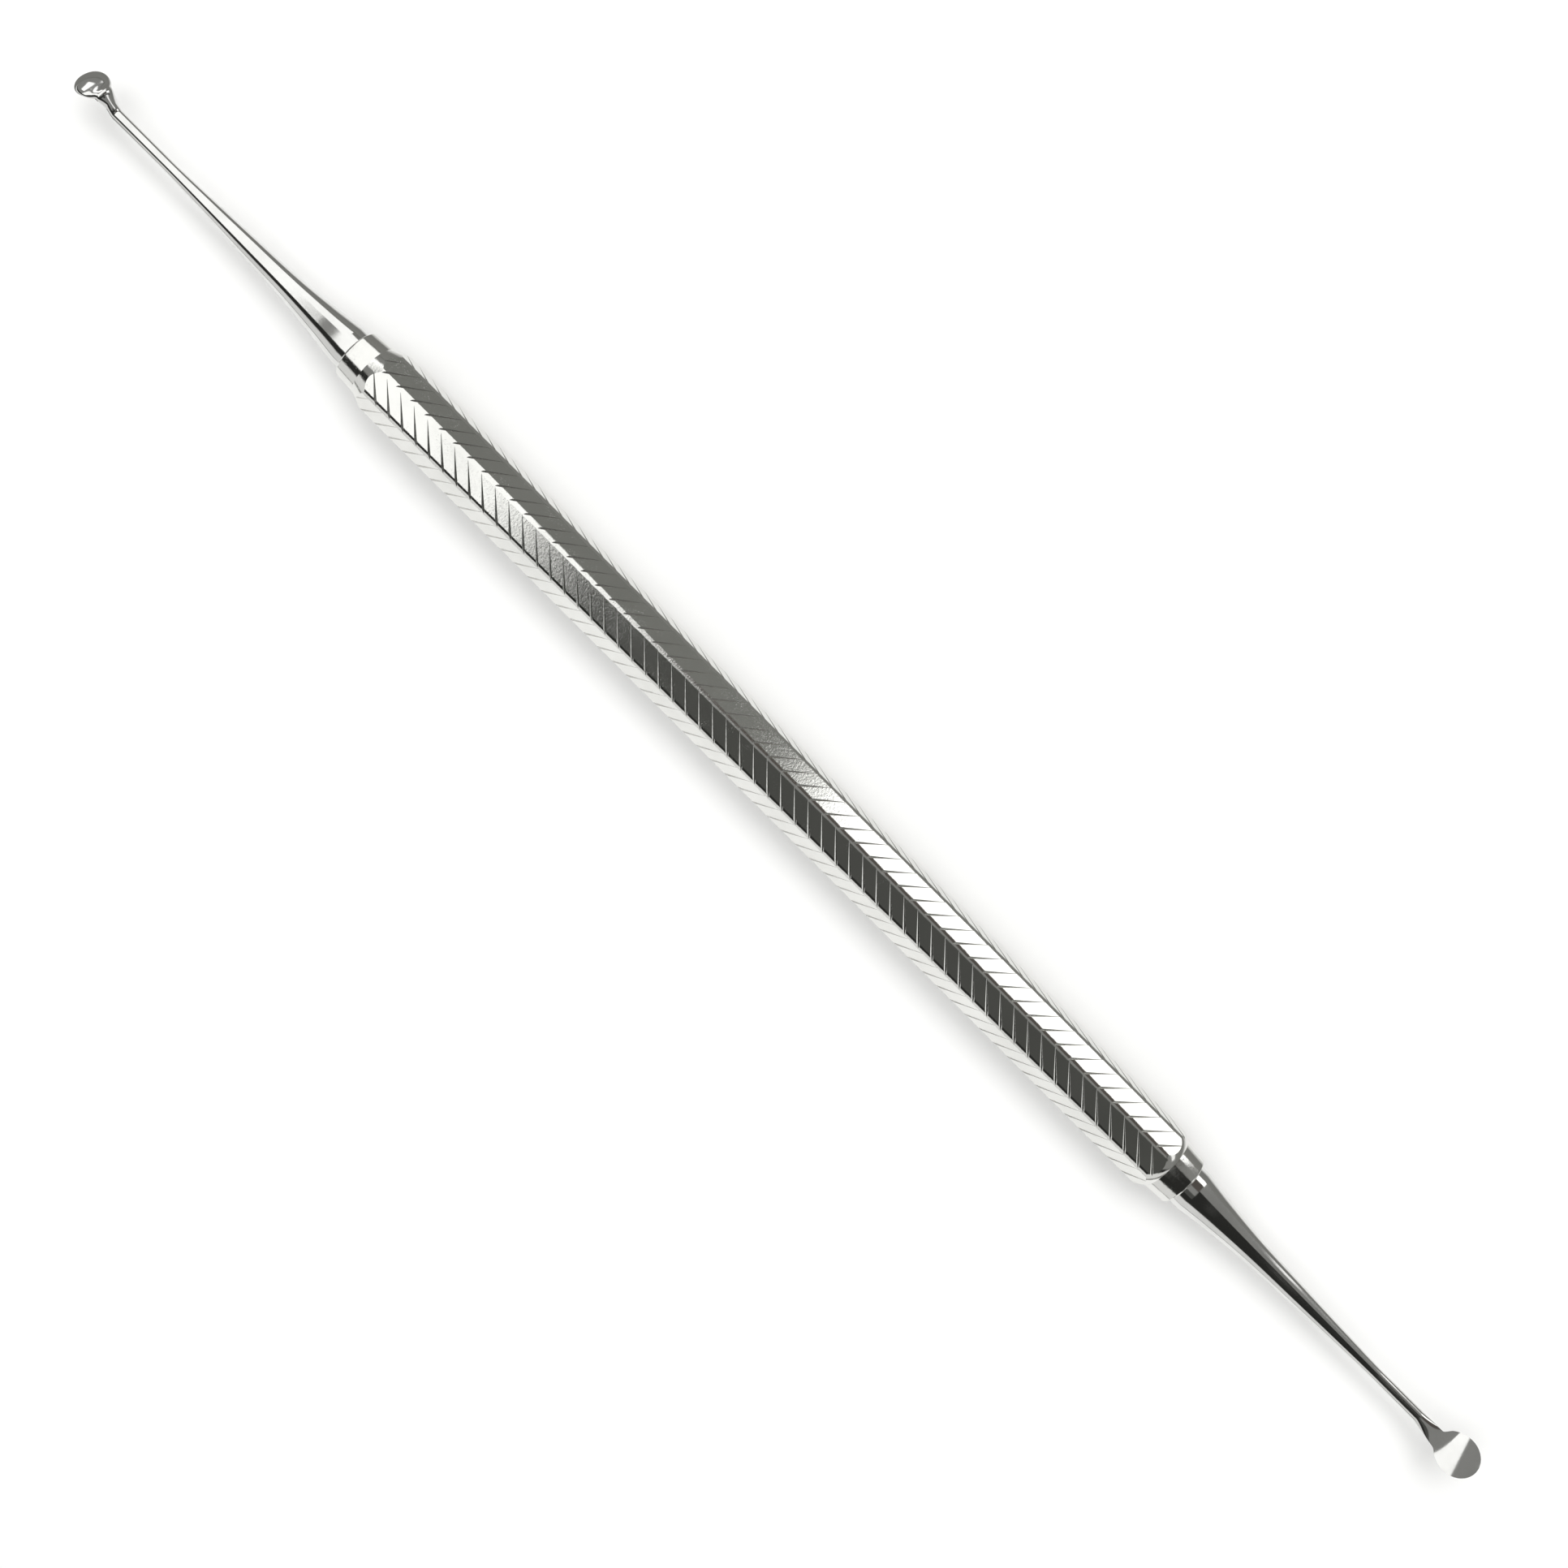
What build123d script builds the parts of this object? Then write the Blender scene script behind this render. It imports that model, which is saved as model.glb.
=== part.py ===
"""Double-ended spoon excavator: an octagonal grip bar with a forged spoon tip brazed into each end.

Frame: +X along the instrument towards the large spoon, +Z up, millimetres. The instrument lies on
one flat of its grip, and the origin is on that flat, under the middle of the grip.
"""
from build123d import *
from math import cos, radians, sin, sqrt, tan
import os

# Grip bar
ACROSS_FLATS = 6.0
FLAT_COUNT = 8
ARRIS_RADIUS = 0.7
HANDLE_LENGTH = 101.8

# Turned nose at each end of the bar, and the curve that runs it out into the flats
NOSE_LENGTH = 2.2
NOSE_END_DIAMETER = 4.95
NOSE_ROOT_DIAMETER = 5.35
NOSE_EDGE_RADIUS = 0.2
RUNOUT_LENGTH = 1.6
RUNOUT_TO_FLATS = 0.65

# Blind hole for the tang
BORE_DEPTH = 12.0
DRILL_POINT_ANGLE = 118.0

# Chevron grooves: one row of parallel V cuts on each flat, the slant changing from flat to flat
GROOVE_WIDTH = 0.22
GROOVE_DEPTH = 0.09
GROOVE_SLANT = 45.0
GROOVE_OVERRUN = 0.18
GROOVED_LENGTH = 98.0
SQUARE_FLAT_PITCH = 1.65
DIAGONAL_FLAT_PITCH = 1.73

# Tip: tang, land, trumpet taper, slender waist
TANG_DIAMETER = 3.0
TANG_LENGTH = 11.5
TANG_CHAMFER = 0.3
LAND_DIAMETER = 4.1
LAND_LENGTH = 1.0
WAIST_DIAMETER = 1.12
WAIST_START = 23.5
TAPER_STATIONS = ((4.0, 3.32), (8.0, 2.48), (14.0, 1.86))

# Spoon: a round dished blade that bends towards its open face
SPOON_BACK_RATIO = 0.46

# Braze between tang and bore, with the bead it leaves at the mouth
BRAZE_FILM = 0.05
BRAZE_BEAD = 0.16
BRAZE_LENGTH = 10.5

# Each end: spoon radius, reach from the nose face to the end of the spoon's rim, height of the rim's rear
# over the axis, how steeply the rim climbs, how far the face bends along it, and roll about the axis
LARGE_SPOON = {"radius": 1.93, "reach": 34.05, "offset": 0.75, "lift": 27.5, "sweep": 40.0,
               "neck_length": 2.4, "roll": -13.0}
SMALL_SPOON = {"radius": 1.60, "reach": 34.50, "offset": -1.15, "lift": 17.0, "sweep": 34.0,
               "neck_length": 1.6, "roll": -145.0}

HALF_HANDLE = HANDLE_LENGTH / 2
AXIS_HEIGHT = ACROSS_FLATS / 2
FLAT_STEP = 360 / FLAT_COUNT
FLAT_WIDTH = ACROSS_FLATS * tan(radians(FLAT_STEP / 2))
TANG_RADIUS = TANG_DIAMETER / 2
LAND_RADIUS = LAND_DIAMETER / 2
WAIST_RADIUS = WAIST_DIAMETER / 2
BORE_RADIUS = TANG_RADIUS + BRAZE_FILM


def turned(outline):
    """Turn a closed outline, drawn as length along X and radius along Z, about the X axis."""
    return revolve(Plane.XZ * make_face(outline), Axis.X, 360)


def octagon_bar():
    """The drawn bar with softened arrises, one flat facing straight down."""
    section = Rot(0, 0, FLAT_STEP / 2) * RegularPolygon(AXIS_HEIGHT, FLAT_COUNT, major_radius=False)
    section = fillet(section.vertices(), ARRIS_RADIUS)
    return extrude(Plane.YZ * section, HALF_HANDLE, both=True)


def end_envelope():
    """Turned outline of the grip: a tapered nose at each end that opens out past the arrises."""
    clear = 1.2 * AXIS_HEIGHT
    over_arrises = AXIS_HEIGHT / cos(radians(FLAT_STEP / 2))
    root = HALF_HANDLE - NOSE_LENGTH
    full = root - RUNOUT_LENGTH
    nose_root = (root, NOSE_ROOT_DIAMETER / 2)
    nose_end = (HALF_HANDLE, NOSE_END_DIAMETER / 2)
    one_end = turned([
        Line((0, clear), (full, clear)),
        Line((full, clear), (full, over_arrises)),
        ThreePointArc((full, over_arrises), (root - RUNOUT_TO_FLATS, AXIS_HEIGHT), nose_root),
        Line(nose_root, nose_end),
        Line(nose_end, (HALF_HANDLE, 0)),
        Line((HALF_HANDLE, 0), (0, 0)),
        Line((0, 0), (0, clear)),
    ])
    return one_end + mirror(one_end, Plane.YZ)


def tang_bore():
    """Blind hole in the +X end, with a drill point at its bottom."""
    bottom = HALF_HANDLE - BORE_DEPTH
    point = bottom - BORE_RADIUS / tan(radians(DRILL_POINT_ANGLE / 2))
    mouth = HALF_HANDLE + 1
    return turned([
        Line((point, 0), (bottom, BORE_RADIUS)),
        Line((bottom, BORE_RADIUS), (mouth, BORE_RADIUS)),
        Line((mouth, BORE_RADIUS), (mouth, 0)),
        Line((mouth, 0), (point, 0)),
    ])


def groove_cutter():
    """A V-shaped prism lying along X, with its edge one groove depth below Z = 0."""
    half_length = (FLAT_WIDTH / 2 + GROOVE_OVERRUN) / sin(radians(GROOVE_SLANT))
    corners = [(-GROOVE_WIDTH, GROOVE_DEPTH), (GROOVE_WIDTH, GROOVE_DEPTH), (0, -GROOVE_DEPTH)]
    section = make_face(Polyline(*corners, close=True))
    return extrude(Plane.YZ * section, half_length, both=True)


def chevron_cutters():
    """Every groove cutter of the grip, row by row."""
    cutter = groove_cutter()
    placed = []
    for flat in range(FLAT_COUNT):
        square = flat % 2 == 0
        pitch = SQUARE_FLAT_PITCH if square else DIAGONAL_FLAT_PITCH
        slant = -GROOVE_SLANT if square else GROOVE_SLANT
        half_count = int(GROOVED_LENGTH / 2 / pitch)
        on_flat = Rot(-FLAT_STEP * flat, 0, 0) * Pos(0, 0, AXIS_HEIGHT)
        for step in range(-half_count, half_count):
            placed.append(on_flat * Pos((step + 0.5) * pitch, 0, 0) * Rot(0, 0, slant) * cutter)
    return placed


def make_handle():
    """The grip bar: octagon, turned noses, tang bores and grooves."""
    bar = octagon_bar() & end_envelope()
    circles = bar.edges().filter_by(GeomType.CIRCLE)
    nose_rims = [edge for edge in circles if abs(abs(edge.center().X) - HALF_HANDLE) < 0.01]
    bar = fillet(nose_rims, NOSE_EDGE_RADIUS)
    bore = tang_bore()
    bar = bar - bore - mirror(bore, Plane.YZ)
    return bar - chevron_cutters()


def make_shank(neck_start):
    """Tang, land, trumpet taper and waist, turned about X with the nose face at X = 0."""
    inner = -TANG_LENGTH
    chamfered = inner + TANG_CHAMFER
    stations = [(LAND_LENGTH, LAND_RADIUS)]
    stations += [(length, diameter / 2) for length, diameter in TAPER_STATIONS]
    stations += [(WAIST_START, WAIST_RADIUS)]
    return turned([
        Line((inner, 0), (inner, TANG_RADIUS - TANG_CHAMFER)),
        Line((inner, TANG_RADIUS - TANG_CHAMFER), (chamfered, TANG_RADIUS)),
        Line((chamfered, TANG_RADIUS), (BRAZE_FILM, TANG_RADIUS)),
        Line((BRAZE_FILM, TANG_RADIUS), (BRAZE_FILM, LAND_RADIUS)),
        Line((BRAZE_FILM, LAND_RADIUS), (LAND_LENGTH, LAND_RADIUS)),
        Spline(*stations, tangents=((1, -0.09), (1, -0.01))),
        Line((WAIST_START, WAIST_RADIUS), (neck_start, WAIST_RADIUS)),
        Line((neck_start, WAIST_RADIUS), (neck_start, 0)),
        Line((neck_start, 0), (inner, 0)),
    ])


def make_tip(radius, reach, offset, lift, sweep, neck_length, roll):
    """One tip along +X from the nose face at X = 0, its spoon opening towards +Z before the roll."""
    face_radius = radius / sin(radians(sweep / 2))
    back_depth = SPOON_BACK_RATIO * radius
    rear = reach - 2 * radius * cos(radians(lift))
    neck_start = rear - neck_length

    # The rim plane: origin at the spoon's centre, X outwards, Z out of the open face
    rim = Pos(rear, 0, offset) * Rot(0, -lift, 0) * Pos(radius, 0, 0)
    dome = make_face([
        EllipticalCenterArc((0, 0), radius, back_depth, start_angle=270, arc_size=90),
        Line((radius, 0), (0, 0)),
        Line((0, 0), (0, -back_depth)),
    ])
    bowl = rim * revolve(Plane.XZ * dome, Axis.Z, 360)
    face_axis = rim * Pos(0, 0, sqrt(face_radius ** 2 - radius ** 2)) * Rot(90, 0, 0)
    bowl = bowl - face_axis * Cylinder(face_radius, 4 * radius)

    # The neck: round at the waist, spreading and flattening into the back of the bowl
    across = Rot(0, 90, 0)
    waist = Pos(neck_start, 0, 0) * across * Circle(WAIST_RADIUS)
    middle = Pos(rear - 0.5, 0, 0.75 * offset) * across * Ellipse(0.9 * WAIST_RADIUS, 1.25 * WAIST_RADIUS)
    buried = rim * Pos(-0.55 * radius, 0, -0.5 * back_depth) * across
    neck = loft([waist, middle, buried * Ellipse(0.16 * back_depth, 0.6 * radius)])
    return Rot(roll, 0, 0) * (make_shank(neck_start) + neck + bowl)


def make_braze():
    """The braze of the +X end: a film round the tang and a bead at the mouth of the bore."""
    bead_edge = LAND_RADIUS + BRAZE_BEAD
    corners = [
        (-BRAZE_LENGTH, TANG_RADIUS), (-BRAZE_LENGTH, BORE_RADIUS), (0, BORE_RADIUS), (0, bead_edge),
        (BRAZE_FILM + BRAZE_BEAD, LAND_RADIUS), (BRAZE_FILM, LAND_RADIUS), (BRAZE_FILM, TANG_RADIUS),
    ]
    return turned(Polyline(*corners, close=True))


os.makedirs("parts", exist_ok=True)
LARGE_END = Pos(HALF_HANDLE, 0, AXIS_HEIGHT)
SMALL_END = Pos(-HALF_HANDLE, 0, AXIS_HEIGHT) * Rot(0, 0, 180)
export_step(Pos(0, 0, AXIS_HEIGHT) * make_handle(), "parts/handle.step")
export_step(LARGE_END * make_tip(**LARGE_SPOON), "parts/large_spoon_tip.step")
export_step(SMALL_END * make_tip(**SMALL_SPOON), "parts/small_spoon_tip.step")
export_step(LARGE_END * make_braze(), "parts/large_end_braze.step")
export_step(SMALL_END * make_braze(), "parts/small_end_braze.step")
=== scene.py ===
"""Double-ended spoon excavator: grooved octagonal grip bar with a forged spoon tip brazed into each end.

Everything is in metres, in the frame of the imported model: +X along the instrument towards the large
spoon, +Z up, the grip lying on one of its flats at Z = 0.
"""
from math import atan2, cos, pi, radians, sin, sqrt, tan

import bpy
import numpy as np
from mathutils import Matrix, Vector


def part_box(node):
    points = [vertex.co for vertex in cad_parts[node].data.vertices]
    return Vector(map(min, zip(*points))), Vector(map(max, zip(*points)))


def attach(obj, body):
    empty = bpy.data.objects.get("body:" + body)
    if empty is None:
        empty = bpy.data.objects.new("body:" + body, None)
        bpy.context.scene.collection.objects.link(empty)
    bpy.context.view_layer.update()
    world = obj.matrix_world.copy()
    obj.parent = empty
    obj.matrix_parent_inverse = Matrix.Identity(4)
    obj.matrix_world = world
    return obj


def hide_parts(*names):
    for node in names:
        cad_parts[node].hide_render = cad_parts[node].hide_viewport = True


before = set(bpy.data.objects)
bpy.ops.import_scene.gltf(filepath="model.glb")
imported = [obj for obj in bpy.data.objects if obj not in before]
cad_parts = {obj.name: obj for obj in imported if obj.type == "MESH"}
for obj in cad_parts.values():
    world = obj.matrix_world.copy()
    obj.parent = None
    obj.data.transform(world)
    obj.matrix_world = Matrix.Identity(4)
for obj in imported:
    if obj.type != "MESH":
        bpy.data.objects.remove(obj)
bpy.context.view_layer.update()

MM = 0.001


# ---------------------------------------------------------------------------------------------------
# Sizes that the frame gives
# ---------------------------------------------------------------------------------------------------

handle_low, handle_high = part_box("handle")
HALF_HANDLE = handle_high.x
AXIS_HEIGHT = (handle_low.z + handle_high.z) / 2
FLAT_RADIUS = (handle_high.z - handle_low.z) / 2
large_low, large_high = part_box("large_spoon_tip")
small_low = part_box("small_spoon_tip")[0]
LARGE_REACH = large_high.x - HALF_HANDLE
SMALL_REACH = -small_low.x - HALF_HANDLE
TANG_LENGTH = HALF_HANDLE - large_low.x

# Shape details of the grip
FLAT_COUNT = 8
FLAT_STEP = 2 * pi / FLAT_COUNT
ARRIS_RADIUS = 0.7 * MM
NOSE_LENGTH = 2.2 * MM
NOSE_END_RADIUS = 2.51 * MM
NOSE_ROOT_RADIUS = 2.65 * MM
NOSE_EDGE_RADIUS = 0.2 * MM
RUNOUT_LENGTH = 1.6 * MM
RUNOUT_TO_FLATS = {1: 0.55 * MM, -1: 0.95 * MM}
BORE_RADIUS = 1.55 * MM
BORE_DEPTH = 12 * MM
DRILL_HALF_ANGLE = radians(59)
DRILL_TIP_RADIUS = 0.01 * MM
BAR_SLICES = 103
CRISP_GRIP_EDGE = radians(13)

# Chevron grooves
GROOVE_FLARE = 0.11 / 0.09
SQUARE_FLAT_DEPTH = 0.06 * MM
DIAGONAL_FLAT_DEPTH = 0.05 * MM
SQUARE_FLAT_TILT = radians(2.6)
DIAGONAL_FLAT_TILT = radians(2.2)
GROOVE_SLANT = radians(45)
GROOVE_OVERRUN = 0.18 * MM
GROOVED_LENGTH = 98 * MM
SQUARE_FLAT_PITCH = 1.65 * MM
DIAGONAL_FLAT_PITCH = 1.73 * MM

# Shape details of the tips
TANG_RADIUS = 1.5 * MM
LAND_RADIUS = 2.05 * MM
BRAZE_FILM = 0.05 * MM
BRAZE_BEAD = 0.07 * MM
BRAZE_LENGTH = 10.5 * MM
LAND_LENGTH = 1.0 * MM
WAIST_RADIUS = 0.56 * MM
WAIST_START = 23.5 * MM
CRISP_TIP_EDGE = radians(38)
CRISP_BRAZE_EDGE = radians(35)
LARGE_SPOON_ROLL = radians(-13)
SMALL_SPOON_ROLL = radians(-145)


# ---------------------------------------------------------------------------------------------------
# Mesh making
# ---------------------------------------------------------------------------------------------------

def new_piece(name, points, faces):
    """A mesh object from points and faces, linked into the scene."""
    mesh = bpy.data.meshes.new(name)
    mesh.from_pydata([tuple(p) for p in points], [], faces)
    mesh.validate()
    piece = bpy.data.objects.new(name, mesh)
    bpy.context.scene.collection.objects.link(piece)
    return piece


def skin(name, rings, start_pole=None, end_pole=None):
    """A closed tube through rings of equal length, each end closed by a pole point or one flat cap."""
    around = len(rings[0])
    points = [p for ring in rings for p in ring]
    faces = []
    for row in range(len(rings) - 1):
        low, high = row * around, (row + 1) * around
        for i in range(around):
            j = (i + 1) % around
            faces.append((low + i, low + j, high + j, high + i))
    last = (len(rings) - 1) * around
    if start_pole is None:
        faces.append(tuple(reversed(range(around))))
    else:
        points.append(start_pole)
        faces += [(len(points) - 1, (i + 1) % around, i) for i in range(around)]
    if end_pole is None:
        faces.append(tuple(last + i for i in range(around)))
    else:
        points.append(end_pole)
        faces += [(len(points) - 1, last + i, last + (i + 1) % around) for i in range(around)]
    return new_piece(name, points, faces)


def circle_at(x, radius, around):
    """Points of a circle round the X axis, counted from +Y towards +Z."""
    turn = [2 * pi * i / around for i in range(around)]
    return [(x, radius * cos(t), radius * sin(t)) for t in turn]


def turned(name, outline, around=96):
    """A lathe-turned piece about the X axis from (length, radius) stations."""
    return skin(name, [circle_at(x, radius, around) for x, radius in outline])


def arc_through(first, middle, last, steps):
    """Points along the circular arc from first to last through middle."""
    (ax, ay), (bx, by), (cx, cy) = first, middle, last
    d = 2 * (ax * (by - cy) + bx * (cy - ay) + cx * (ay - by))
    a2, b2, c2 = ax * ax + ay * ay, bx * bx + by * by, cx * cx + cy * cy
    ux = (a2 * (by - cy) + b2 * (cy - ay) + c2 * (ay - by)) / d
    uy = (a2 * (cx - bx) + b2 * (ax - cx) + c2 * (bx - ax)) / d
    radius = sqrt((ax - ux) ** 2 + (ay - uy) ** 2)
    start, end = atan2(ay - uy, ax - ux), atan2(cy - uy, cx - ux)
    return [(ux + radius * cos(start + (end - start) * k / steps),
             uy + radius * sin(start + (end - start) * k / steps)) for k in range(steps + 1)]


def applied(piece):
    """Bake a piece's modifiers into its mesh."""
    graph = bpy.context.evaluated_depsgraph_get()
    done = bpy.data.meshes.new_from_object(piece.evaluated_get(graph))
    piece.modifiers.clear()
    piece.data = done
    return piece


def carve(piece, tools, operation="DIFFERENCE"):
    """Cut piece by each tool in turn, and throw the tools away."""
    for tool in tools:
        cut = piece.modifiers.new("cut", "BOOLEAN")
        cut.operation = operation
        cut.solver = "MANIFOLD"
        cut.object = tool
        applied(piece)
        bpy.data.objects.remove(tool)
    return piece


def smooth_with_crisp_edges(piece, angle):
    """Shade smooth, keep edges sharper than angle crisp, and let large faces hold their flat normals."""
    piece.data.shade_smooth()
    piece.data.set_sharp_from_angle(angle=angle)
    weighting = piece.modifiers.new("weighted_normals", "WEIGHTED_NORMAL")
    weighting.keep_sharp = True
    weighting.weight = 80
    return applied(piece)


def lift_to_axis(piece):
    """Move a piece drawn about the X axis up to the instrument's own axis."""
    piece.data.transform(Matrix.Translation((0, 0, AXIS_HEIGHT)))
    return piece


# ---------------------------------------------------------------------------------------------------
# Grip bar
# ---------------------------------------------------------------------------------------------------

def octagon_ring(x):
    """One cross-section of the bar: eight flats joined by rounded arrises."""
    steps = 6
    corner = (FLAT_RADIUS - ARRIS_RADIUS) / cos(FLAT_STEP / 2)
    ring = []
    for k in range(FLAT_COUNT):
        middle = FLAT_STEP * (k + 0.5)
        for s in range(steps + 1):
            turn = middle + FLAT_STEP * (s / steps - 0.5)
            ring.append((x, corner * cos(middle) + ARRIS_RADIUS * cos(turn),
                         corner * sin(middle) + ARRIS_RADIUS * sin(turn)))
    return ring


def end_outline(end):
    """Stations of the turned envelope from the middle of the bar out to the nose face at one end."""
    root = HALF_HANDLE - NOSE_LENGTH
    full = root - RUNOUT_LENGTH
    over_arrises = FLAT_RADIUS / cos(FLAT_STEP / 2)
    runout = arc_through((full, over_arrises), (root - RUNOUT_TO_FLATS[end], FLAT_RADIUS),
                         (root, NOSE_ROOT_RADIUS), 14)
    steps = 5
    edge = [(HALF_HANDLE - NOSE_EDGE_RADIUS * (1 - sin(pi / 2 * k / steps)),
             NOSE_END_RADIUS - NOSE_EDGE_RADIUS * (1 - cos(pi / 2 * k / steps))) for k in range(steps + 1)]
    return [(full - 0.01 * MM, 1.2 * FLAT_RADIUS)] + runout + edge


def chevron_tool(flats, slant, pitch, depth, tilt):
    """All the groove cutters of the named flats as one object of separate V prisms.

    depth is the depth in the middle of a flat; tilt makes each groove deeper towards one side.
    """
    half_flat = FLAT_RADIUS * tan(FLAT_STEP / 2)
    half_length = (half_flat + GROOVE_OVERRUN) / sin(abs(slant))
    over = 4 * depth
    spread = GROOVE_FLARE * (over + depth)
    section = [(-spread, over), (0, -depth), (spread, over)]
    prism = [Vector((end * half_length, y, z)) for end in (-1, 1) for y, z in section]
    sides = [(2, 1, 0), (3, 4, 5), (1, 4, 3, 0), (2, 5, 4, 1), (0, 3, 5, 2)]
    half_count = int(GROOVED_LENGTH / 2 / pitch)
    points, faces = [], []
    for flat in flats:
        on_flat = Matrix.Rotation(-FLAT_STEP * flat, 4, "X") @ Matrix.Translation((0, 0, FLAT_RADIUS))
        tilted = on_flat @ Matrix.Rotation(tilt, 4, "X")
        for step in range(-half_count, half_count):
            place = tilted @ Matrix.Translation(((step + 0.5) * pitch, 0, 0)) @ Matrix.Rotation(slant, 4, "Z")
            first = len(points)
            points += [place @ p for p in prism]
            faces += [tuple(first + i for i in face) for face in sides]
    return new_piece("groove_cutters", points, faces)


def flats_and_grooves_level(piece):
    """Shade the bar's flats and groove walls level; only arrises and turned faces stay smooth."""
    mesh = piece.data
    for face in mesh.polygons:
        normal = face.normal
        turn = atan2(normal.y, normal.z) / (FLAT_STEP / 2)
        along = abs(normal.x)
        on_flat = along < 0.01 and abs(turn / 2 - round(turn / 2)) < 0.01
        in_groove = face.material_index == 1
        face.use_smooth = not (on_flat or in_groove)


def make_grip(steels):
    """The grip bar with its noses, tang bores and eight rows of slanted grooves."""
    grip = skin("grip_bar", [octagon_ring(x) for x in np.linspace(-HALF_HANDLE, HALF_HANDLE, BAR_SLICES)])
    left, right = end_outline(-1), end_outline(1)
    envelope = turned("envelope", [(-x, r) for x, r in reversed(left)] + right, 128)
    bottom, mouth = HALF_HANDLE - BORE_DEPTH, HALF_HANDLE + MM
    point = bottom - BORE_RADIUS / tan(DRILL_HALF_ANGLE)
    bore = [(point, DRILL_TIP_RADIUS), (bottom, BORE_RADIUS), (mouth, BORE_RADIUS)]
    bores = [turned("bore", [(side * x, r) for x, r in bore][::side], 64) for side in (1, -1)]
    square, diagonal = range(0, FLAT_COUNT, 2), range(1, FLAT_COUNT, 2)
    rows = [chevron_tool(square, -GROOVE_SLANT, SQUARE_FLAT_PITCH, SQUARE_FLAT_DEPTH,
                         SQUARE_FLAT_TILT),
            chevron_tool(diagonal, GROOVE_SLANT, DIAGONAL_FLAT_PITCH, DIAGONAL_FLAT_DEPTH,
                         DIAGONAL_FLAT_TILT)]
    for shape in [grip, envelope] + bores:
        shape.data.materials.append(steels[0])
    for row in rows:
        row.data.materials.append(steels[1])
    carve(grip, [envelope], "INTERSECT")
    carve(grip, bores + rows)
    grip.data.shade_smooth()
    grip.data.set_sharp_from_angle(angle=CRISP_GRIP_EDGE)
    flats_and_grooves_level(grip)
    return lift_to_axis(grip)


# ---------------------------------------------------------------------------------------------------
# Tips
# ---------------------------------------------------------------------------------------------------

RING_HALF = 32


def shank_stations():
    """Turned part of a tip as (length, radius): tang, shoulder, land and trumpet taper."""
    marks = np.array([(LAND_LENGTH / MM, 2.05), (4.0, 1.66), (8.0, 1.24), (14.0, 0.93), (19.0, 0.71),
                      (WAIST_START / MM, WAIST_RADIUS / MM)])
    slopes = np.gradient(marks[:, 1], marks[:, 0])
    slopes[0], slopes[-1] = -0.09, -0.01
    stations = [(-TANG_LENGTH, 0.8 * TANG_RADIUS), (-TANG_LENGTH + 0.3 * MM, TANG_RADIUS),
                (BRAZE_FILM, TANG_RADIUS), (BRAZE_FILM, LAND_RADIUS), (LAND_LENGTH * 0.85, LAND_RADIUS)]
    for k in range(len(marks) - 1):
        (x0, r0), (x1, r1) = marks[k], marks[k + 1]
        span = x1 - x0
        for t in np.linspace(0, 1, 15)[: 15 if k == len(marks) - 2 else 14]:
            h00, h10 = (1 + 2 * t) * (1 - t) ** 2, t * (1 - t) ** 2
            h01, h11 = t * t * (3 - 2 * t), t * t * (t - 1)
            radius = h00 * r0 + h10 * span * slopes[k] + h01 * r1 + h11 * span * slopes[k + 1]
            stations.append(((x0 + span * t) * MM, radius * MM))
    return stations


def softly_larger(a, b, sharpness):
    """The larger of two lengths, with a rounded change-over."""
    return (a ** sharpness + b ** sharpness) ** (1 / sharpness)


def smoothstep(t):
    t = min(max(t, 0.0), 1.0)
    return t * t * (3 - 2 * t)


def tip_ring(centre, slope, left, right, top, bottom, face=None):
    """A cross-section of neck or spoon, square to slope: half-widths, height over and depth under centre.

    face gives the level of the hollow face at a distance across, where there is one.
    """
    ring = []
    for i in range(2 * RING_HALF):
        turn = pi * i / RING_HALF
        across, rise = cos(turn) * (left if cos(turn) > 0 else right), sin(turn)
        height = rise * (top if rise > 0 else bottom) + (face(across) if face else 0)
        ring.append((centre[0] - sin(slope) * height, across, centre[1] + cos(slope) * height))
    return ring


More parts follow.
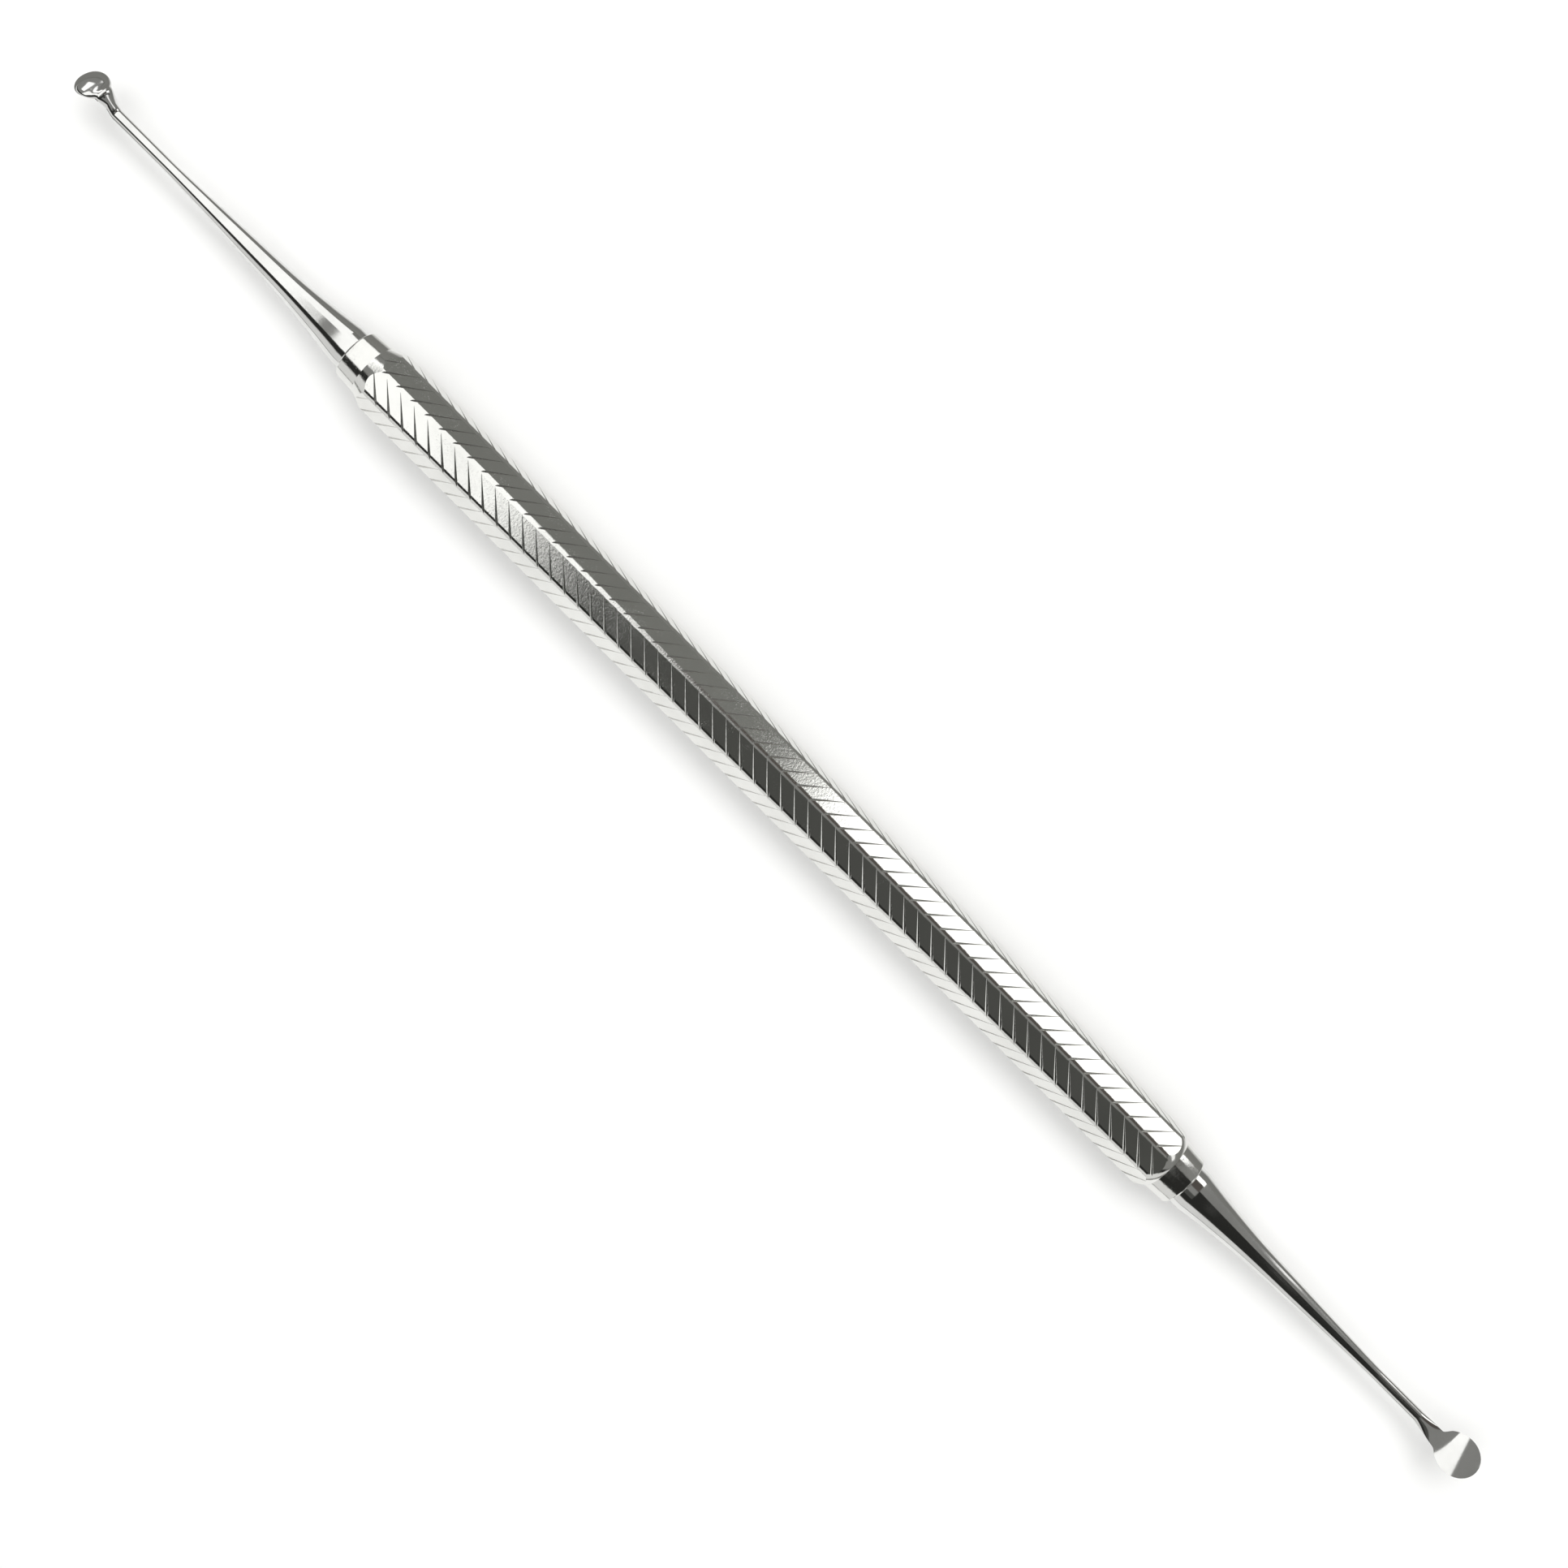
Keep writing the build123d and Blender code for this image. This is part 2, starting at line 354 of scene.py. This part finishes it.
def make_tip(name, half_length, half_width, back, reach, offset, lift, sweep, skew, neck_length, flares):
    """One tip along +X from the nose face at X = 0, its spoon opening towards +Z.

    half_length, half_width and back (its depth) are the spoon's; reach is how far it gets; offset is
    how far the rear of its rim lies over the axis. The rim climbs at lift, and along it the face bends
    by sweep, about an axis skewed from square. flares gives, for the +Y and the -Y side, how far before
    the rim's rear the neck starts to widen, how fast, and by how much.
    """
    face_radius = half_length / sin(sweep / 2)
    overhang = sqrt((half_length * cos(lift)) ** 2 + (back * sin(lift)) ** 2)
    rear = reach - half_length * cos(lift) - overhang
    neck_start = rear - neck_length
    rear_slope = lift - sweep / 2
    rings = [circle_at(x, radius, 2 * RING_HALF) for x, radius in shank_stations()]
    for x in np.linspace(WAIST_START + MM, neck_start, 6):
        rings.append(circle_at(x, WAIST_RADIUS, 2 * RING_HALF))

    def sag(along):
        along = min(abs(along), half_length)
        return sqrt(face_radius ** 2 - along ** 2) - sqrt(face_radius ** 2 - half_length ** 2)

    def half_widths(before_rear, disc):
        fade = 1 - smoothstep((-before_rear / half_length - 0.5) / 0.9)
        sides = []
        for start, rate, most in flares:
            flare = WAIST_RADIUS + min(max(start - before_rear, 0) * rate, most)
            sides.append(softly_larger(disc, flare * fade, 9))
        return sides

    # Neck: the middle line swings from the axis to the rear of the rim while the round top flattens
    steps = 30
    for k in range(1, steps):
        t = k / steps
        x = neck_start + neck_length * t
        climb = (t ** 3 - t ** 2) * neck_length * tan(rear_slope)
        z = climb + offset * smoothstep(t)
        top = WAIST_RADIUS * (1 - smoothstep(t))
        bottom = WAIST_RADIUS * (1 + 0.1 * smoothstep(t))
        left, right = half_widths(rear - x, 0.0)
        rings.append(tip_ring((x, z), 0.5 * rear_slope * smoothstep(t), left, right, top, bottom))

    # Spoon: an oval blade whose face is one long hollow bend
    steps = 60
    for k in range(steps):
        u = -cos(pi * k / steps)
        disc = sqrt(max(1 - u * u, 0))
        along = u * half_length
        slope = 0.5 * rear_slope + (lift - 0.5 * rear_slope) * smoothstep((u + 1) / 0.9)
        left, right = half_widths(-(u + 1) * half_length, disc * half_width)
        neck_depth = 1.1 * WAIST_RADIUS * (1 - smoothstep((u + 1) / 0.7))
        depth = softly_larger(max(back * disc - sag(along), 0), neck_depth, 2.5)
        blend = smoothstep((u + 1) / 0.9) * smoothstep((1 - u) / 0.4)
        x = rear + (u + 1) * half_length * cos(lift)
        z = offset + (u + 1) * half_length * sin(lift)

        def face(across):
            return -sag(along * cos(skew * blend) + across * sin(skew * blend))
        rings.append(tip_ring((x, z), slope, left, right, 0.0, depth, face))
    end = (rear + 2 * half_length * cos(lift), 0, offset + 2 * half_length * sin(lift))
    piece = skin(name, rings, end_pole=end)
    return smooth_with_crisp_edges(piece, CRISP_TIP_EDGE)


def place_tip(piece, end, roll):
    """Roll a tip about its axis and set it in the bore at the +X (1) or -X (-1) end of the grip."""
    turn = Matrix.Identity(4) if end > 0 else Matrix.Rotation(pi, 4, "Z")
    piece.data.transform(Matrix.Translation((end * HALF_HANDLE, 0, AXIS_HEIGHT)) @ turn
                         @ Matrix.Rotation(roll, 4, "X"))
    return piece


def make_braze(name):
    """Braze film round a tang, with the bead that shows at the mouth of the bore."""
    bead = [(0, LAND_RADIUS + BRAZE_BEAD),
            (BRAZE_FILM, LAND_RADIUS + 0.55 * BRAZE_BEAD),
            (BRAZE_FILM + 0.3 * BRAZE_BEAD, LAND_RADIUS + 0.2 * BRAZE_BEAD),
            (BRAZE_FILM + BRAZE_BEAD, LAND_RADIUS)]
    outer = [(-BRAZE_LENGTH, BORE_RADIUS), (0, BORE_RADIUS)] + bead
    inner = [(BRAZE_FILM, LAND_RADIUS), (BRAZE_FILM, TANG_RADIUS), (-BRAZE_LENGTH, TANG_RADIUS)]
    around = 96
    rings = [circle_at(x, radius, around) for x, radius in outer + inner]
    points = [p for ring in rings for p in ring]
    faces = []
    for row in range(len(rings)):
        low, high = row * around, (row + 1) % len(rings) * around
        faces += [(low + i, low + (i + 1) % around, high + (i + 1) % around, high + i) for i in range(around)]
    return smooth_with_crisp_edges(new_piece(name, points, faces), CRISP_BRAZE_EDGE)


# ---------------------------------------------------------------------------------------------------
# Node helpers
# ---------------------------------------------------------------------------------------------------

def node(tree, kind, **settings):
    """Add a node and set its properties; names that match an input set that input's value."""
    made = tree.nodes.new(kind)
    for name, value in settings.items():
        socket = made.inputs.get(name.replace("_", " "))
        if socket is not None and not hasattr(made, name):
            socket.default_value = value
        else:
            setattr(made, name, value)
    return made


def maths(tree, operation, a, b=None):
    """A Math node whose operands are sockets or numbers; returns its output."""
    made = tree.nodes.new("ShaderNodeMath")
    made.operation = operation
    for socket, value in zip(made.inputs, (a, b)):
        if value is None:
            continue
        if isinstance(value, (int, float)):
            socket.default_value = value
        else:
            tree.links.new(value, socket)
    return made.outputs[0]


def ramp(tree, factor, low, high, low_value, high_value):
    """Map a factor linearly from one range to another, clamped; returns the output."""
    mapped = node(tree, "ShaderNodeMapRange", clamp=True)
    for name, value in (("From Min", low), ("From Max", high), ("To Min", low_value), ("To Max", high_value)):
        mapped.inputs[name].default_value = value
    tree.links.new(factor, mapped.inputs["Value"])
    return mapped.outputs["Result"]


def blended(tree, factor, first, second):
    """Mix two colours by a factor; returns the output."""
    mix = tree.nodes.new("ShaderNodeMix")
    mix.data_type = "RGBA"
    tree.links.new(factor, mix.inputs["Factor"])
    colours = [s for s in mix.inputs if s.type == "RGBA"]
    for socket, colour in zip(colours, (first, second)):
        socket.default_value = (*colour, 1)
    return [s for s in mix.outputs if s.type == "RGBA"][0]


def new_group(name, inputs, outputs):
    """An empty shader node group with named float or vector sockets; returns tree, input and output nodes."""
    tree = bpy.data.node_groups.new(name, "ShaderNodeTree")
    for socket_name, kind, value in inputs:
        socket = tree.interface.new_socket(socket_name, in_out="INPUT", socket_type=kind)
        if value is not None:
            socket.default_value = value
    for socket_name, kind in outputs:
        tree.interface.new_socket(socket_name, in_out="OUTPUT", socket_type=kind)
    return tree, tree.nodes.new("NodeGroupInput"), tree.nodes.new("NodeGroupOutput")


FLOAT, VECTOR = "NodeSocketFloat", "NodeSocketVector"


def make_tumbled_skin():
    """Surface of tumbled and buffed steel: soft ripples, fine grain, hairline scratches and rare nicks."""
    tree, given, out = new_group(
        "tumbled_skin",
        [("Place", VECTOR, None), ("Ripple Size", FLOAT, 0.0004), ("Grain Size", FLOAT, 0.00012),
         ("Scratch Length", FLOAT, 0.002), ("Scratch Width", FLOAT, 0.00004), ("Ripple", FLOAT, 1.0),
         ("Grain", FLOAT, 0.3), ("Scratches", FLOAT, 0.2), ("Nicks", FLOAT, 1.0)],
        [("Height", FLOAT), ("Marks", FLOAT)])
    link = tree.links.new

    def noise_at(size, detail):
        noise = node(tree, "ShaderNodeTexNoise", Detail=detail, Roughness=0.55)
        link(given.outputs["Place"], noise.inputs["Vector"])
        link(maths(tree, "DIVIDE", 1.0, size), noise.inputs["Scale"])
        return noise.outputs["Fac"]

    ripple = maths(tree, "MULTIPLY", noise_at(given.outputs["Ripple Size"], 2.0), given.outputs["Ripple"])
    grain = maths(tree, "MULTIPLY", noise_at(given.outputs["Grain Size"], 2.0), given.outputs["Grain"])

    # Nicks: the few highest points of a fine noise, in patches
    sharp = ramp(tree, noise_at(given.outputs["Grain Size"], 0.0), 0.71, 0.80, 0.0, 1.0)
    patch_size = maths(tree, "MULTIPLY", given.outputs["Ripple Size"], 14.0)
    patches = ramp(tree, noise_at(patch_size, 2.0), 0.48, 0.62, 0.0, 1.0)
    nicks = maths(tree, "MULTIPLY", maths(tree, "MULTIPLY", sharp, patches), given.outputs["Nicks"])

    # Scratches: ridges of a noise drawn out along the piece
    stretch = node(tree, "ShaderNodeVectorMath", operation="DIVIDE")
    sizes = tree.nodes.new("ShaderNodeCombineXYZ")
    link(given.outputs["Scratch Length"], sizes.inputs["X"])
    link(given.outputs["Scratch Width"], sizes.inputs["Y"])
    link(given.outputs["Scratch Width"], sizes.inputs["Z"])
    link(given.outputs["Place"], stretch.inputs[0])
    link(sizes.outputs[0], stretch.inputs[1])
    hairs = node(tree, "ShaderNodeTexNoise", Scale=1.0, Detail=3.0, Roughness=0.6)
    link(stretch.outputs[0], hairs.inputs["Vector"])
    ridge = maths(tree, "ABSOLUTE", maths(tree, "SUBTRACT", hairs.outputs["Fac"], 0.5))
    marks = maths(tree, "SUBTRACT", 1.0, maths(tree, "MINIMUM", maths(tree, "MULTIPLY", ridge, 9.0), 1.0))
    scratches = maths(tree, "MULTIPLY", marks, given.outputs["Scratches"])
    height = maths(tree, "SUBTRACT", maths(tree, "ADD", ripple, grain), maths(tree, "ADD", nicks, scratches))
    link(height, out.inputs["Height"])
    link(marks, out.inputs["Marks"])
    return tree


def make_handling_film():
    """Cloudy mask of the thin film that handling leaves: large soft patches broken up by fine ones."""
    tree, given, out = new_group(
        "handling_film",
        [("Place", VECTOR, None), ("Patch Size", FLOAT, 0.006), ("Contrast", FLOAT, 2.0)],
        [("Film", FLOAT)])
    link = tree.links.new
    patches = node(tree, "ShaderNodeTexNoise", Detail=5.0, Roughness=0.62)
    link(given.outputs["Place"], patches.inputs["Vector"])
    link(maths(tree, "DIVIDE", 1.0, given.outputs["Patch Size"]), patches.inputs["Scale"])
    centred = maths(tree, "SUBTRACT", patches.outputs["Fac"], 0.5)
    stronger = maths(tree, "MULTIPLY", centred, given.outputs["Contrast"])
    film = node(tree, "ShaderNodeClamp")
    link(maths(tree, "ADD", stronger, 0.5), film.inputs["Value"])
    link(film.outputs[0], out.inputs["Film"])
    return tree


TUMBLED_SKIN = make_tumbled_skin()
HANDLING_FILM = make_handling_film()


def placed_group(tree, group, place, **values):
    """Put a node group in a material, wire its Place input and set the named inputs."""
    made = tree.nodes.new("ShaderNodeGroup")
    made.node_tree = group
    tree.links.new(place, made.inputs["Place"])
    for name, value in values.items():
        made.inputs[name.replace("_", " ")].default_value = value
    return made


def steel(name, clean, filmed, smooth, dull, skin_values, skin_height, film_size):
    """Bright stainless steel: colour and roughness drift with the handling film, the skin gives the bump."""
    material = bpy.data.materials.new(name)
    material.use_nodes = True
    tree = material.node_tree
    shader = tree.nodes["Principled BSDF"]
    place = tree.nodes.new("ShaderNodeTexCoord").outputs["Object"]
    film = placed_group(tree, HANDLING_FILM, place, Patch_Size=film_size, Contrast=2.4)
    skin_group = placed_group(tree, TUMBLED_SKIN, place, **skin_values)
    shader.inputs["Metallic"].default_value = 1.0
    tree.links.new(blended(tree, film.outputs["Film"], clean, filmed), shader.inputs["Base Color"])
    base_roughness = ramp(tree, film.outputs["Film"], 0.0, 1.0, smooth, dull)
    scratched = maths(tree, "ADD", base_roughness, maths(tree, "MULTIPLY", skin_group.outputs["Marks"], 0.05))
    tree.links.new(scratched, shader.inputs["Roughness"])
    bump = node(tree, "ShaderNodeBump", Strength=1.0, Distance=skin_height)
    tree.links.new(skin_group.outputs["Height"], bump.inputs["Height"])
    tree.links.new(bump.outputs["Normal"], shader.inputs["Normal"])
    return material


def grip_steel():
    return steel("grip_steel", (0.80, 0.80, 0.78), (0.72, 0.72, 0.70), 0.04, 0.08,
                 dict(Ripple_Size=0.00022, Grain_Size=0.00008, Scratch_Length=0.0008, Scratch_Width=0.00006,
                      Ripple=0.75, Grain=0.35, Scratches=0.04, Nicks=0.4), 0.000005, 0.005)


def groove_steel():
    return steel("groove_steel", (0.82, 0.82, 0.80), (0.62, 0.61, 0.58), 0.10, 0.24,
                 dict(Ripple_Size=0.0002, Grain_Size=0.00006, Scratch_Length=0.0004, Scratch_Width=0.00002,
                      Ripple=0.6, Grain=0.6, Scratches=0.5, Nicks=0.5), 0.000003, 0.0012)


def tip_steel():
    return steel("tip_steel", (0.78, 0.78, 0.77), (0.68, 0.68, 0.67), 0.04, 0.09,
                 dict(Ripple_Size=0.0004, Grain_Size=0.00014, Scratch_Length=0.0012, Scratch_Width=0.00003,
                      Ripple=0.5, Grain=0.3, Scratches=0.06, Nicks=0.2), 0.0000016, 0.003)


def braze_silver():
    return steel("braze_silver", (0.86, 0.85, 0.82), (0.74, 0.72, 0.68), 0.12, 0.25,
                 dict(Ripple_Size=0.0002, Grain_Size=0.00008, Scratch_Length=0.0004, Scratch_Width=0.00003,
                      Ripple=0.8, Grain=0.5, Scratches=0.2, Nicks=0.3), 0.000003, 0.001)


# ---------------------------------------------------------------------------------------------------
# Studio: floor, surroundings, lamps, camera
# ---------------------------------------------------------------------------------------------------

BENCH_HALF_SIDE = 1.5
# The second bench colour is a painted reflection: the bench shows it to mirror rays only, past the limits on
# the next line, so the steel mirrors dark bands.
BENCH_WHITE, BENCH_PAINTED_REFLECTION_GREY = (0.93, 0.93, 0.925), (0.19, 0.19, 0.18)
PAINTED_REFLECTION_FROM_Y, PAINTED_REFLECTION_FROM_X, PAINTED_REFLECTION_EDGE = 4 * MM, 83 * MM, 3 * MM


def make_floor():
    """Plain white bench under the instrument.

    In mirror reflections only, the bench is painted grey a little way off on the +Y side and past both ends.
    This is a painted reflection that lays dark bands into the steel; seen straight on and in diffuse light
    the bench stays plain white.
    """
    side = BENCH_HALF_SIDE
    floor = new_piece("bench", [(-side, -side, 0), (side, -side, 0), (side, side, 0), (-side, side, 0)],
                      [(0, 1, 2, 3)])
    material = bpy.data.materials.new("bench_white_painted_reflection")
    material.use_nodes = True
    tree = material.node_tree
    shader = tree.nodes["Principled BSDF"]
    place = tree.nodes.new("ShaderNodeSeparateXYZ")
    tree.links.new(tree.nodes.new("ShaderNodeTexCoord").outputs["Object"], place.inputs[0])
    # Painted reflection: past these limits the bench is grey instead of white, but only to mirror rays.
    aside = ramp(tree, place.outputs["Y"], PAINTED_REFLECTION_FROM_Y, PAINTED_REFLECTION_FROM_Y + PAINTED_REFLECTION_EDGE, 0.0, 1.0)
    lengthwise = maths(tree, "ABSOLUTE", place.outputs["X"])
    past_ends = ramp(tree, lengthwise, PAINTED_REFLECTION_FROM_X, PAINTED_REFLECTION_FROM_X + PAINTED_REFLECTION_EDGE, 0.0, 1.0)
    beyond = maths(tree, "MAXIMUM", aside, past_ends)
    # Only mirror rays get the painted grey; camera rays and diffuse light see the bench plain white.
    mirrored = tree.nodes.new("ShaderNodeLightPath").outputs["Is Glossy Ray"]
    grey = maths(tree, "MULTIPLY", beyond, mirrored)
    tree.links.new(blended(tree, grey, BENCH_WHITE, BENCH_PAINTED_REFLECTION_GREY), shader.inputs["Base Color"])
    shader.inputs["Roughness"].default_value = 0.9
    shader.inputs["Specular IOR Level"].default_value = 0.1
    floor.data.materials.append(material)


def make_panel_mask():
    """Soft-edged window in the surroundings: 1 inside a range of lengthwise lean and of roll angle."""
    tree, given, out = new_group(
        "studio_panel",
        [("Lean", FLOAT, 0.0), ("Roll", FLOAT, 0.0), ("Lean From", FLOAT, -1.0), ("Lean To", FLOAT, 1.0),
         ("Roll From", FLOAT, -1.0), ("Roll To", FLOAT, 1.0), ("Lean Edge", FLOAT, 0.02),
         ("Roll Edge", FLOAT, 2.0)],
        [("Inside", FLOAT)])
    link = tree.links.new
    sides = []
    for axis in ("Lean", "Roll"):
        for limit, sign in (("From", 1), ("To", -1)):
            beyond = maths(tree, "SUBTRACT", given.outputs[axis], given.outputs[f"{axis} {limit}"])
            past = maths(tree, "MULTIPLY", beyond, float(sign))
            soft = node(tree, "ShaderNodeMapRange", interpolation_type="SMOOTHSTEP")
            link(past, soft.inputs["Value"])
            link(maths(tree, "MULTIPLY", given.outputs[f"{axis} Edge"], -1.0), soft.inputs["From Min"])
            link(given.outputs[f"{axis} Edge"], soft.inputs["From Max"])
            sides.append(soft.outputs["Result"])
    first = maths(tree, "MULTIPLY", sides[0], sides[1])
    second = maths(tree, "MULTIPLY", sides[2], sides[3])
    link(maths(tree, "MULTIPLY", first, second), out.inputs["Inside"])
    return tree


# Each panel: lean from and to (share of the direction that points along +X), roll from and to in
# degrees (0 overhead, 90 towards +Y, -90 towards -Y), soft edges of both, brightness and tint. A
# panel hides the parts of earlier panels that it covers.
NEUTRAL, GREENISH, BROWNISH = (1.0, 1.0, 0.985), (1.0, 1.01, 0.94), (1.0, 0.88, 0.80)
PANELS = [
    (-1.2, 1.2, -120, -52, 0.05, 3, 0.80, NEUTRAL),
    (-1.2, 0.05, 84, 125, 0.03, 2, 0.20, GREENISH),
    (-0.56, -0.20, -21, 70, 0.012, 2, 1.30, NEUTRAL),
    (-0.56, -0.12, 0, 70, 0.010, 2, 1.30, NEUTRAL),
    (-0.62, -0.38, 38, 83, 0.02, 2, 1.30, NEUTRAL),
    (-0.86, -0.69, 13, 64, 0.02, 1.5, 1.50, NEUTRAL),
    (-0.19, 0.40, -50, 0, 0.03, 3, 0.080, GREENISH),
    (-0.12, 0.38, 26, 70, 0.02, 4, 0.10, BROWNISH),
    (0.38, 0.56, -50, 34, 0.02, 2, 0.025, GREENISH),
    (0.56, 0.65, -50, 110, 0.02, 2, 0.06, GREENISH),
    (0.65, 0.80, 4, 30, 0.02, 2, 0.06, GREENISH),
    (0.65, 0.93, 48, 72, 0.02, 3, 1.10, NEUTRAL),
    (-1.2, 1.2, -49, -22, 0.03, 1.5, 0.025, GREENISH),
    (-0.38, -0.01, 70, 125, 0.008, 1.5, 0.20, GREENISH),
    (-0.20, -0.01, 62, 76, 0.008, 2, 0.20, GREENISH),
    (-0.01, 0.395, 66, 106, 0.008, 2, 1.70, NEUTRAL),
]
ROOM_BRIGHTNESS = 0.26


def make_surroundings():
    """Studio surroundings: an even grey room with soft white panels and dark flags."""
    world = bpy.data.worlds.new("studio")
    bpy.context.scene.world = world
    world.use_nodes = True
    tree = world.node_tree
    link = tree.links.new
    direction = tree.nodes.new("ShaderNodeSeparateXYZ")
    link(tree.nodes.new("ShaderNodeTexCoord").outputs["Generated"], direction.inputs[0])
    lean = direction.outputs["X"]
    roll = maths(tree, "DEGREES", maths(tree, "ARCTAN2", direction.outputs["Y"], direction.outputs["Z"]))
    mask = make_panel_mask()
    light = None
    for lean_from, lean_to, roll_from, roll_to, lean_edge, roll_edge, level, tint in PANELS:
        panel = tree.nodes.new("ShaderNodeGroup")
        panel.node_tree = mask
        link(lean, panel.inputs["Lean"])
        link(roll, panel.inputs["Roll"])
        for name, value in (("Lean From", lean_from), ("Lean To", lean_to), ("Roll From", roll_from),
                            ("Roll To", roll_to), ("Lean Edge", lean_edge), ("Roll Edge", roll_edge)):
            panel.inputs[name].default_value = value
        mix = tree.nodes.new("ShaderNodeMix")
        mix.data_type = "RGBA"
        first, second = [s for s in mix.inputs if s.type == "RGBA"]
        link(panel.outputs["Inside"], mix.inputs["Factor"])
        if light is None:
            first.default_value = (ROOM_BRIGHTNESS, ROOM_BRIGHTNESS, 0.96 * ROOM_BRIGHTNESS, 1)
        else:
            link(light, first)
        second.default_value = (*(level * share for share in tint), 1)
        light = [s for s in mix.outputs if s.type == "RGBA"][0]
    background = tree.nodes["Background"]
    background.inputs["Strength"].default_value = 1.0
    link(light, background.inputs["Color"])


def soft_lamp(name, place, size, energy):
    """A large soft lamp that aims at the middle of the bench and doesn't show in the steel."""
    light = bpy.data.lights.new(name, "AREA")
    light.shape = "RECTANGLE"
    light.size, light.size_y = size
    light.energy = energy
    lamp = bpy.data.objects.new(name, light)
    bpy.context.scene.collection.objects.link(lamp)
    lamp.location = place
    lamp.rotation_euler = (-Vector(place)).to_track_quat("-Z", "Y").to_euler()
    lamp.visible_glossy = False


CAMERA_AIM = Vector((2.22 * MM, -0.15 * MM, AXIS_HEIGHT))
CAMERA_DISTANCE = 165 * MM
CAMERA_TOWARDS_Y, CAMERA_TOWARDS_X, CAMERA_TURN = radians(13.2), radians(1.3), radians(45)
CAMERA_LENS, CAMERA_SENSOR = 43.54, 36


def make_camera():
    """Camera nearly square above the instrument, turned so that the instrument runs corner to corner."""
    level = cos(CAMERA_TOWARDS_X)
    outward = Vector((sin(CAMERA_TOWARDS_X), level * sin(CAMERA_TOWARDS_Y), level * cos(CAMERA_TOWARDS_Y)))
    along = (Vector((1, 0, 0)) - outward * outward.x).normalized()
    across = outward.cross(along)
    right = along * cos(CAMERA_TURN) + across * sin(CAMERA_TURN)
    up = outward.cross(right)
    pose = Matrix((right, up, outward)).transposed().to_4x4()
    pose.translation = CAMERA_AIM + outward * CAMERA_DISTANCE
    data = bpy.data.cameras.new("camera")
    data.sensor_width = CAMERA_SENSOR
    data.lens = CAMERA_LENS
    data.clip_start = 0.01
    camera = bpy.data.objects.new("camera", data)
    camera.matrix_world = pose
    bpy.context.scene.collection.objects.link(camera)
    bpy.context.scene.camera = camera


# ---------------------------------------------------------------------------------------------------
# Assembly
# ---------------------------------------------------------------------------------------------------

make_camera()
make_floor()
make_surroundings()
soft_lamp("key_lamp", (0.0, 0.30, 0.42), (0.34, 0.20), 0.75)
soft_lamp("fill_lamp", (0.0, 0.0, 1.2), (2.4, 2.4), 16.5)
bpy.context.scene.view_settings.view_transform = "Standard"

GRIP_STEEL, GROOVE_STEEL = grip_steel(), groove_steel()
TIP_STEEL, BRAZE_SILVER = tip_steel(), braze_silver()


def finish_piece(piece, material, cad_node):
    """Give a piece its material and its place in the frame."""
    if not piece.data.materials:
        piece.data.materials.append(material)
    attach(piece, "root")
    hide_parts(cad_node)
    return piece


finish_piece(make_grip((GRIP_STEEL, GROOVE_STEEL)), GRIP_STEEL, "handle")
LARGE_SPOON = dict(half_length=1.93 * MM, half_width=1.80 * MM, back=0.88 * MM, reach=LARGE_REACH,
                   offset=0.75 * MM, lift=radians(27.5), sweep=radians(40), skew=radians(16),
                   neck_length=2.4 * MM, flares=[(0.12 * MM, 1.0, 0.55 * MM), (2.3 * MM, 0.185, 0.46 * MM)])
SMALL_SPOON = dict(half_length=1.60 * MM, half_width=1.56 * MM, back=0.74 * MM, reach=SMALL_REACH,
                   offset=-1.15 * MM, lift=radians(17), sweep=radians(34), skew=radians(-10),
                   neck_length=1.6 * MM, flares=[(1.0 * MM, 0.35, 0.35 * MM), (0.8 * MM, 0.45, 0.32 * MM)])
large_tip = make_tip("large_spoon", **LARGE_SPOON)
finish_piece(place_tip(large_tip, 1, LARGE_SPOON_ROLL), TIP_STEEL, "large_spoon_tip")
small_tip = make_tip("small_spoon", **SMALL_SPOON)
finish_piece(place_tip(small_tip, -1, SMALL_SPOON_ROLL), TIP_STEEL, "small_spoon_tip")
finish_piece(place_tip(make_braze("large_braze"), 1, 0), BRAZE_SILVER, "large_end_braze")
finish_piece(place_tip(make_braze("small_braze"), -1, 0), BRAZE_SILVER, "small_end_braze")
